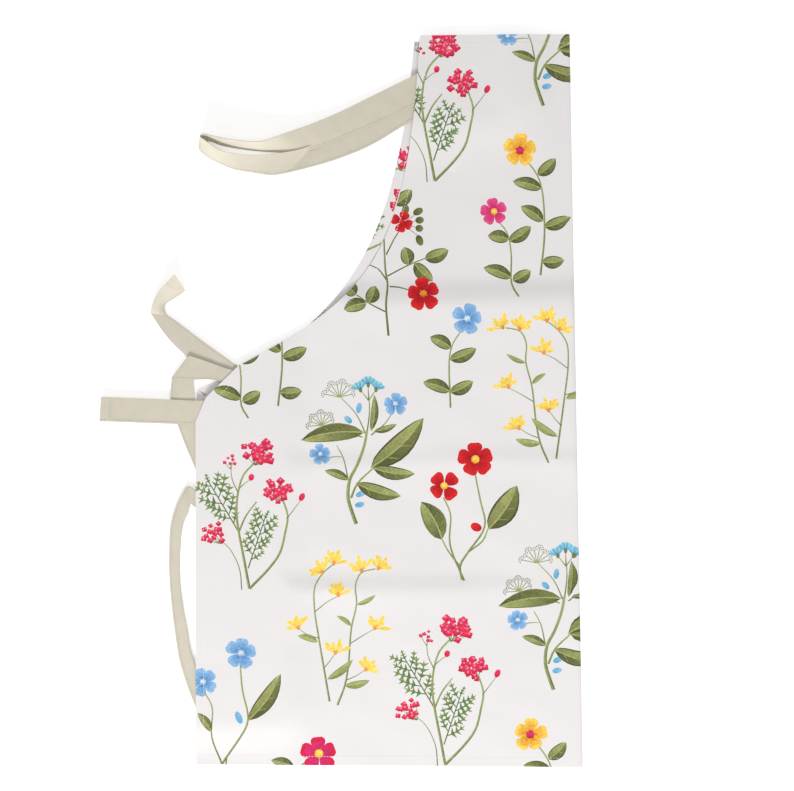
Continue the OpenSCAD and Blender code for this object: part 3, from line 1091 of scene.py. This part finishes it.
def back_tie():
    """Sewn end, down between the halves, back up, and out over the hip to its free end."""
    low, high = 1.5, 2.3
    rows = [flat_row((-371.5, 396), (-346.5, 396), low), flat_row((-366, 250), (-341, 250), low),
            flat_row((-359, 80), (-334, 80), low)]
    rows += fold_rows((-358, 67), (-333, 67), (0, -1), low, high)
    rows += [flat_row((-357, 90), (-332, 90), high), flat_row((-352, 230), (-328, 230), high),
             flat_row((-351, 350), (-326, 350), high)]
    rows += fold_rows((-351, 425), (-326, 375), (2, 1), high, 2.95)
    rows += [flat_row((-362, 433), (-352, 395), 2.95), flat_row((-385, 450), (-384, 420), 2.9),
             flat_row((-404, 465), (-405, 437), 2.4), flat_row((-416, 474), (-423, 456), 2.2)]
    rows += fold_rows((-422, 478), (-439, 480), (-1, 2), 2.1, 3.2)
    rows += [flat_row((-424, 487), (-436, 489), 3.0, 8), flat_row((-415, 494), (-428, 503), 2.4, 12),
             flat_row((-407, 499), (-420, 511), 2.0, 14), flat_row((-402, 503), (-412, 519), 1.8, 15)]
    return tape(rows, stitched=(0.1,), seed=33, end_seams=[((-407.5, 500, 2.5), (-420, 509, 13.4))])


STRAP_BEND = 22    # how far either side of its turn the strap's share runs between 0 and 1
# The strap's lower and upper edge, with their heights, from the back bib corner to the front one.
STRAP_ROWS = (
    ((-127, 692, 2.6), (-141, 716, 2.6)), ((-163, 675, 2.6), (-177, 699, 2.6)),
    ((-207, 650, 2.6), (-219, 674, 2.6)), ((-240, 637, 2.6), (-250, 662, 2.6)),
    ((-264, 630, 2.5), (-262, 657, 2.6)), ((-292, 623.5, 2.0), (-266, 653, 2.4)),
    ((-300, 622, 1.4), (-270, 650.5, 5.2)), ((-311, 621, 1.0), (-288, 645.5, 6.2)),
    ((-330, 624, 0.8), (-322, 642, 7.5)), ((-350, 628, 0.6), (-345, 643, 9.5)),
    ((-366, 635, 0.6), (-360, 646, 13)), ((-378, 642, 0.6), (-370, 651, 17)),
    ((-385, 649, 0.6), (-378, 657, 20)), ((-385, 655, 0.6), (-383, 661, 21)),
    ((-377, 657.5, 0.6), (-380, 663.5, 21.5)), ((-362, 653, 0.8), (-368, 661, 21)),
    ((-349, 650, 1.0), (-355, 658, 20.5)), ((-322, 646, 2.4), (-322, 655, 18)),
    ((-305, 644.5, 3.2), (-305, 660, 14)), ((-285, 643.5, 3.9), (-292, 665, 10)),
    ((-261, 649, 4.0), (-269, 673, 7)), ((-231, 660, 3.9), (-239, 685, 5.2)),
    ((-190, 677, 3.7), (-203, 702, 4.2)), ((-150, 696, 3.7), (-163, 721, 3.7)),
    ((-127, 708, 3.7), (-141, 732, 3.7)),
)


def strap_share(centre):
    """0 on the lower run, 1 on the upper run, and between them round the turn."""
    length = np.r_[0, np.cumsum(np.linalg.norm(np.diff(centre, axis=0), axis=1))]
    far = length[centre[:, 0].argmin()]
    return ramp(far - STRAP_BEND, far + STRAP_BEND, length)


def neck_strap():
    rows = [np.concatenate([np.add(a, t * np.subtract(b, a)) for t in ROW_PLACES]) for a, b in STRAP_ROWS]
    return tape(rows, step=3, stitched=(0.09,), share=strap_share, seed=45)


def strap_end(node):
    """The end of the strap that is sewn down inside a bib corner."""
    low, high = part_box(node)
    left, foot = low.x * 1000 - FOLD_X, low.y * 1000 - BOTTOM_Y
    right, top = high.x * 1000 - FOLD_X, high.y * 1000 - BOTTOM_Y
    z = (low.z + high.z) * 500
    rounded = ((7, foot + 1), (3, foot + 4), (0.5, foot + 9), (0, foot + 16), (0, top - 8), (0, top))
    rows = [flat_row((left + inset, y), (right - inset, y), z) for inset, y in rounded]
    return tape(rows, stitched=(0.09,), seed=57)


TACK_SINK = 0.32   # how far the tack stitches are pulled into the tape
TACK_HALF = 7      # half the side of their square
TACK_STITCH = 2.8


def box_stitches(node, above):
    """A square of stitches with a cross in it, where the CAD has it."""
    low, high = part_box(node)
    centre = np.array([(low.x + high.x) * 500 - FOLD_X, (low.y + high.y) * 500 - BOTTOM_Y])
    z = low.z * 1000 - TACK_SINK if above else high.z * 1000 + TACK_SINK
    corners = TACK_HALF * np.array([(-1, -1), (1, -1), (1, 1), (-1, 1), (-1, -1)])
    lines = [corners, corners[[0, 2]], corners[[1, 3]]]
    solid = Solid()
    for line in lines:
        points = even_line(line + centre, TACK_STITCH)
        middles = (points[1:] + points[:-1]) / 2
        ways = np.diff(points, axis=0)
        ways = np.column_stack([ways / np.linalg.norm(ways, axis=1)[:, None], np.zeros(len(ways))])
        normals = np.tile([0, 0, 1 if above else -1], (len(middles), 1)).astype(float)
        centres = np.column_stack([middles, np.full(len(middles), z)])
        verts, faces, per = stitches(centres, ways, normals, 1.0)
        solid.add(verts, faces, np.repeat(middles, per, axis=0), 0)
    return solid


# ---- Materials ----

WAVE_UNIT = 20     # a wave texture of scale 1 turns this many radians a metre


class Material:
    """One procedural material, built node by node."""

    def __init__(self, name, roughness, sheen):
        self.data = bpy.data.materials.new(name)
        self.data.use_nodes = True
        self.shader = self.data.node_tree.nodes["Principled BSDF"].inputs
        self.shader["Roughness"].default_value = roughness
        self.shader["Sheen Weight"].default_value = sheen
        self.shader["Sheen Roughness"].default_value = 0.5
        self.shader["Specular IOR Level"].default_value = 0.2

    def put(self, socket, value):
        """Links the socket to another node's output, or sets it to a colour, number or vector."""
        if isinstance(value, bpy.types.NodeSocket):
            self.data.node_tree.links.new(value, socket)
        elif isinstance(value, np.ndarray):
            socket.default_value = (*value, 1)
        else:
            socket.default_value = value

    def node(self, kind, inputs, output=0, **settings):
        node = self.data.node_tree.nodes.new(kind)
        for name, value in settings.items():
            setattr(node, name, value)
        for name, value in inputs.items():
            self.put(node.inputs[name], value)
        return node.outputs[output]

    def flat_place(self):
        return self.node("ShaderNodeUVMap", {}, "UV", uv_map="flat")

    def scaled(self, source, scale):
        return self.node("ShaderNodeMapping", {"Scale": scale, "Vector": source}, "Vector")

    def noise(self, vector, scale, detail=3.0):
        return self.node("ShaderNodeTexNoise", {"Scale": scale, "Detail": detail, "Vector": vector}, "Fac")

    def product(self, a, b):
        return self.node("ShaderNodeMath", {0: a, 1: b}, operation="MULTIPLY")

    def total(self, a, b):
        return self.node("ShaderNodeMath", {0: a, 1: b}, operation="ADD")

    def remap(self, value, low, high):
        span = {"From Min": 0.25, "From Max": 0.75, "To Min": low, "To Max": high, "Value": value}
        return self.node("ShaderNodeMapRange", span, "Result")

    def mixed(self, kind, factor, a, b):
        inputs = {0: factor, 6: a, 7: b}
        return self.node("ShaderNodeMix", inputs, 2, data_type="RGBA", blend_type=kind)

    def weave(self, flat, pitch):
        """Threads over and under each other: high where one passes over."""
        inputs = {"Scale": 2 * math.pi * 1000 / pitch / WAVE_UNIT, "Distortion": 0.4, "Detail": 1,
                  "Detail Scale": 0.6, "Vector": flat}
        waves = [self.node("ShaderNodeTexWave", inputs, "Fac", bands_direction=way) for way in ("X", "Y")]
        return self.product(*waves)

    def bump(self, height, strength, distance):
        inputs = {"Strength": strength, "Distance": distance, "Height": height}
        self.put(self.shader["Normal"], self.node("ShaderNodeBump", inputs, "Normal"))


def printed_cotton():
    cotton = Material("printed_cotton", 0.86, 0.06)
    flat = cotton.flat_place()
    ink = cotton.node("ShaderNodeAttribute", {}, "Color", attribute_name="ink")
    threads = cotton.weave(flat, 0.8)
    slub = cotton.noise(cotton.scaled(flat, (60, 900, 1)), 1)
    cloud = cotton.noise(flat, 7)
    tone = cotton.product(cotton.remap(slub, 0.985, 1.0), cotton.remap(cloud, 0.99, 1.0))
    tone = cotton.product(tone, cotton.remap(threads, 0.97, 1.0))
    brush = cotton.noise(flat, 420, 4)
    wash = cotton.noise(flat, 90, 3)
    dab = cotton.product(cotton.remap(brush, 0.70, 1.22), cotton.remap(wash, 0.86, 1.12))
    painted = cotton.mixed("MULTIPLY", 1.0, ink, dab)
    colour = cotton.mixed("MIX", ink.node.outputs["Alpha"], CLOTH, painted)
    cotton.put(cotton.shader["Base Color"], cotton.mixed("MULTIPLY", 1.0, colour, tone))
    cotton.bump(cotton.total(threads, cotton.product(slub, 0.6)), 0.35, 0.0002)
    return cotton.data


def woven_tape():
    tape_cloth = Material("woven_tape", 0.88, 0.08)
    flat = tape_cloth.flat_place()
    threads = tape_cloth.weave(flat, 0.9)
    slub = tape_cloth.noise(tape_cloth.scaled(flat, (1100, 80, 1)), 1)
    rub = tape_cloth.noise(flat, 55)
    colour = tape_cloth.mixed("MIX", tape_cloth.remap(slub, 0.0, 0.35), TAPE, TAPE * 0.86)
    tone = tape_cloth.product(tape_cloth.remap(rub, 0.95, 1.02), tape_cloth.remap(threads, 0.93, 1.0))
    tape_cloth.put(tape_cloth.shader["Base Color"], tape_cloth.mixed("MULTIPLY", 1.0, colour, tone))
    tape_cloth.bump(tape_cloth.total(threads, tape_cloth.product(rub, 1.2)), 0.5, 0.0003)
    return tape_cloth.data


def sewing_thread(name, base):
    thread = Material(name, 0.7, 0.1)
    twist = thread.noise(thread.scaled(thread.flat_place(), (900, 900, 1)), 1)
    colour = thread.mixed("MIX", thread.remap(twist, 0, 0.4), base, base * 0.8)
    thread.put(thread.shader["Base Color"], colour)
    thread.bump(twist, 0.4, 0.0001)
    return thread.data


def table_top():
    top = Material("table_top", 0.9, 0)
    top.shader["Base Color"].default_value = (0.93, 0.93, 0.93, 1)
    top.shader["Emission Color"].default_value = (1, 1, 1, 1)
    top.shader["Emission Strength"].default_value = 0.32
    return top.data


# ---- Putting it together ----

COTTON = printed_cotton()
TAPE_CLOTH = woven_tape()
HEM_THREAD = sewing_thread("hem_thread", THREAD)
# The tape's stitches: the thread's own colour, made darker than the tape as painted shade of the stitch
# holes.
SHADED_TAPE_THREAD = sewing_thread("shaded_tape_thread", TAPE * 0.62)


def add_cloth(name, solid, materials, nodes):
    """A piece that lies across both halves and curves round the fold where it crosses it."""
    obj = solid.build(name, materials)
    ride_between(obj)
    if nodes:
        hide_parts(*nodes)
    return obj


def add_hems():
    spans = {
        "bib_hem": ("bib", WIDE_HEM, ("back_bib_hem", "front_bib_hem")),
        "bottom_hem": ("bottom", WIDE_HEM, ("back_bottom_hem", "front_bottom_hem")),
        "back_armhole_hem_strip": ("back_armhole", HEM_W, ("back_armhole_hem",)),
        "back_side_hem_strip": ("back_side", HEM_W, ("back_side_hem",)),
        "front_armhole_hem_strip": ("front_armhole", HEM_W, ("front_armhole_hem",)),
        "front_side_hem_strip": ("front_side", HEM_W, ("front_side_hem",)),
    }
    return [add_cloth(name, hem(EDGES[edge], depth), [COTTON], nodes)
            for name, (edge, depth, nodes) in spans.items()]


def add_tape(name, solid, body, nodes):
    obj = solid.build(name, [TAPE_CLOTH, SHADED_TAPE_THREAD])
    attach(obj, body)
    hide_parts(*nodes)
    return obj


def add_ties():
    for half, solid in (("front", front_tie()), ("back", back_tie())):
        nodes = (f"{half}_waist_tie", f"{half}_tie_end_hem")
        tie = add_tape(f"{half}_tie", solid, f"{half}_half", nodes)


def add_strap():
    solid = neck_strap()
    strap = solid.build("neck_strap", [TAPE_CLOTH, SHADED_TAPE_THREAD])
    ride_between(strap)
    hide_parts("neck_strap_lower_run", "neck_strap_turn", "neck_strap_upper_run",
                "neck_strap_front_bend")
    for half in ("back", "front"):
        node = f"{half}_strap_end"
        add_tape(f"{half}_strap_sewn_end", strap_end(node), f"{half}_half", [node])


def add_tacks():
    for half in ("back", "front"):
        for end in ("strap", "tie"):
            node = f"{half}_{end}_tack"
            solid = box_stitches(node, half == "back")
            obj = solid.build(f"{node}_stitches", [SHADED_TAPE_THREAD])
            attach(obj, f"{half}_half")
            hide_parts(node)


def add_table():
    low = cad_box[0].z - 0.0002
    mesh = bpy.data.meshes.new("table")
    reach = 6
    corners = [(-reach, -reach, low), (reach, -reach, low), (reach, reach, low), (-reach, reach, low)]
    mesh.from_pydata(corners, [], [(0, 1, 2, 3)])
    mesh.materials.append(table_top())
    table = bpy.data.objects.new("table", mesh)
    bpy.context.scene.collection.objects.link(table)


apron = add_cloth("printed_panel", panel(), [COTTON],
                  ("back_panel", "front_panel", "centre_fold"))
hems = add_hems()
hem_stitches = add_cloth("hem_stitches", hem_stitch_rows(), [HEM_THREAD], ())
add_ties()
add_strap()
add_tacks()
add_table()
